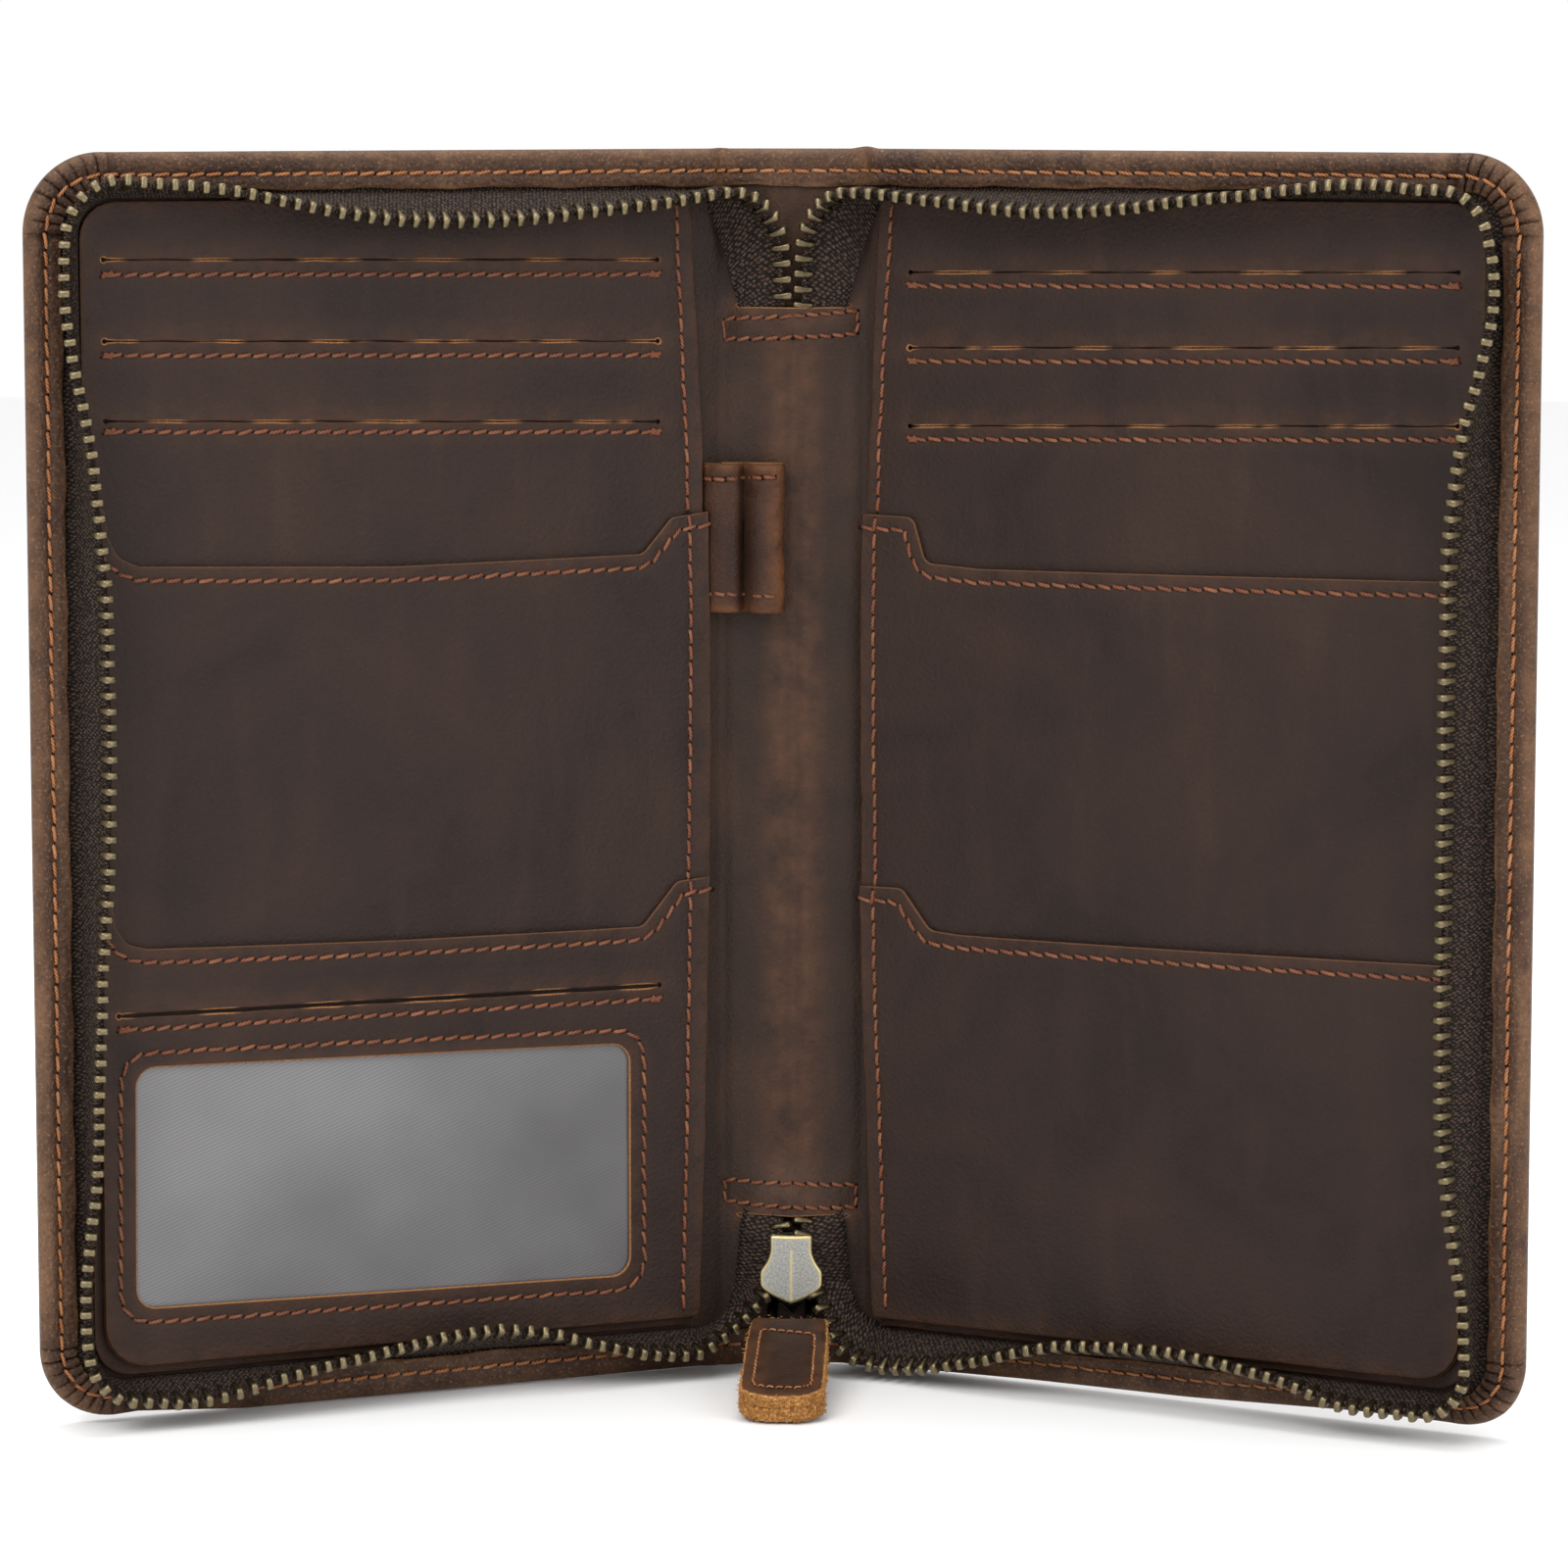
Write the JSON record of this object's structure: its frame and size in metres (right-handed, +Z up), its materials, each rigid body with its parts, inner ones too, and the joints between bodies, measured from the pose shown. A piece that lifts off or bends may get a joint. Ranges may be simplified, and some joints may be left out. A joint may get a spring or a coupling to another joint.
{
  "type": "travel document organizer",
  "caption": "Zip-around leather travel document organizer standing open, with card slots, document pockets, a clear window, a pen loop and a leather zip pull.",
  "frame": {"origin": "centre of the bounding box's base, on the surface that the organizer stands on", "axes": "+Z up along the spine, +X across both covers to the right, -Y towards the side that the inside faces"},
  "size_m": [0.2428, 0.0654, 0.208],
  "materials": {
    "outer_leather": "waxed pull-up leather, mid brown, satin, worn lighter at edges",
    "inner_leather": "waxed pull-up leather, dark chocolate, satin",
    "lining_leather": "waxed pull-up leather, dark chocolate, satin",
    "pull_leather": "waxed pull-up leather with raw tan edges",
    "stiffener_board": "grey-brown board, matt",
    "slot_fabric": "thin woven polyester, matt",
    "zip_tape": "herringbone woven zip tape, dark brown, matt",
    "zip_teeth": "antique brass, satin",
    "slider_metal": "antique nickel plating worn to brass at its edges",
    "window_film": "clear grey film with a fine diagonal texture"
  },
  "bodies": {
    "spine": {"spine_outer_leather": "outer_leather", "spine_stiffener": "stiffener_board", "spine_lining": "lining_leather", "pen_loop": "inner_leather", "top_left_zip_tape_end": "zip_tape", "top_right_zip_tape_end": "zip_tape", "top_zip_chain": "zip_teeth", "bottom_left_zip_tape_end": "zip_tape", "bottom_right_zip_tape_end": "zip_tape", "bottom_zip_chain": "zip_teeth"},
    "left_cover": {"left_outer_leather": "outer_leather", "left_stiffener_board": "stiffener_board", "left_lining": "lining_leather", "left_slot_backing": "slot_fabric", "left_slot_panel": "inner_leather", "left_middle_pocket": "inner_leather", "left_lower_pocket": "inner_leather", "left_zip_tape": "zip_tape", "left_zip_teeth": "zip_teeth", "id_window_film": "window_film"},
    "right_cover": {"right_outer_leather": "outer_leather", "right_stiffener_board": "stiffener_board", "right_lining": "lining_leather", "right_slot_backing": "slot_fabric", "right_slot_panel": "inner_leather", "right_middle_pocket": "inner_leather", "right_lower_pocket": "inner_leather", "right_zip_tape": "zip_tape", "right_zip_teeth": "zip_teeth"},
    "slider": {"zip_slider": "slider_metal"},
    "pull_ring": {"pull_ring": "slider_metal"},
    "leather_pull": {"leather_pull": "pull_leather"}
  },
  "joints": [
    {"name": "left_cover_fold", "type": "hinge", "parent": "spine", "child": "left_cover", "pos_m": [-0.013, 0.03267, 0.104], "axis": [0, 0, 1], "range_deg": [-26, 64], "deforming": ["left_zip_tape", "left_zip_teeth", "top_left_zip_tape_end", "bottom_left_zip_tape_end", "pen_loop"]},
    {"name": "right_cover_fold", "type": "hinge", "parent": "spine", "child": "right_cover", "pos_m": [0.013, 0.03267, 0.104], "axis": [0, 0, -1], "range_deg": [-26, 64], "deforming": ["right_zip_tape", "right_zip_teeth", "top_right_zip_tape_end", "bottom_right_zip_tape_end", "top_zip_chain"]},
    {"name": "slider_travel", "type": "slide", "parent": "spine", "child": "slider", "axis": [0, 0, -1], "range_m": [0, 0.0045], "deforming": ["bottom_zip_chain"]},
    {"name": "ring_swing", "type": "hinge", "parent": "slider", "child": "pull_ring", "pos_m": [0, 0.02777, 0.0126], "axis": [1, 0, 0], "range_deg": [0, 45]},
    {"name": "pull_swing", "type": "hinge", "parent": "pull_ring", "child": "leather_pull", "pos_m": [0, 0.01687, 0.0086], "axis": [-1, 0, 0], "range_deg": [-34, 60], "deforming": ["leather_pull"]}
  ]
}
